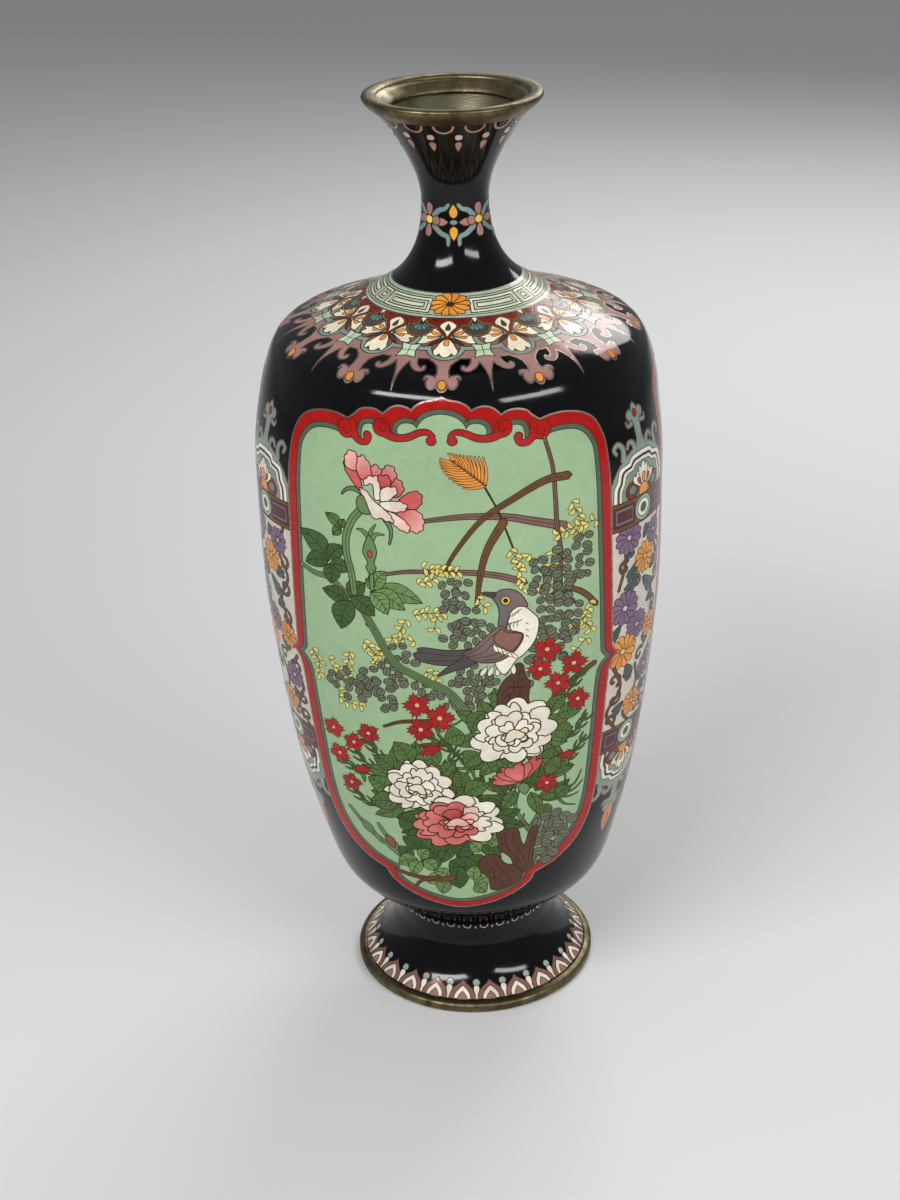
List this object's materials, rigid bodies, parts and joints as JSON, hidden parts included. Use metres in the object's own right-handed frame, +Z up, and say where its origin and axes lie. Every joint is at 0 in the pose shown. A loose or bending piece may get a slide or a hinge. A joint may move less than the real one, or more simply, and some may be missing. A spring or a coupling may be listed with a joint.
{
  "type": "cloisonne vase",
  "caption": "Tall baluster vase with a slender flared neck and spreading foot, enamelled copper with framed bird-and-flower panels.",
  "frame": {"origin": "centre of the box round the vase, on the surface it stands on; the turning axis is 3.6 mm in front of it", "axes": "+Z up along the vase's axis, -Y towards the front panel, +X to the right of the front panel"},
  "size_m": [0.127, 0.127, 0.305],
  "materials": {
    "copper": "raised copper, hammered and darkened by firing",
    "brass": "aged brass, rubbed on its edges",
    "black_enamel": "polished black vitreous enamel",
    "red_enamel": "polished red vitreous enamel",
    "green_enamel": "polished pale green vitreous enamel",
    "white_enamel": "polished cream vitreous enamel",
    "mauve_enamel": "polished dusty mauve vitreous enamel",
    "counter_enamel": "unpolished blue-grey counter enamel"
  },
  "bodies": {
    "root": {"copper_body": "copper", "copper_neck": "copper", "copper_foot": "copper", "base_plate": "copper", "counter_enamel_inside": "counter_enamel", "counter_enamel_base": "counter_enamel", "rim_mount": "brass", "foot_rim_mount": "brass", "foot_petal_band": "white_enamel", "foot_stem_enamel": "black_enamel", "neck_enamel": "black_enamel", "fret_ring_enamel": "green_enamel", "collar_enamel": "mauve_enamel", "panel_frame_front": "red_enamel", "panel_enamel_front": "green_enamel", "panel_frame_right": "red_enamel", "panel_enamel_right": "green_enamel", "panel_frame_left": "red_enamel", "panel_enamel_left": "green_enamel", "corner_strip_front_right": "white_enamel", "corner_strip_back": "white_enamel", "corner_strip_front_left": "white_enamel", "shoulder_ground_enamel": "black_enamel", "lower_ground_enamel": "black_enamel"}
  },
  "joints": []
}
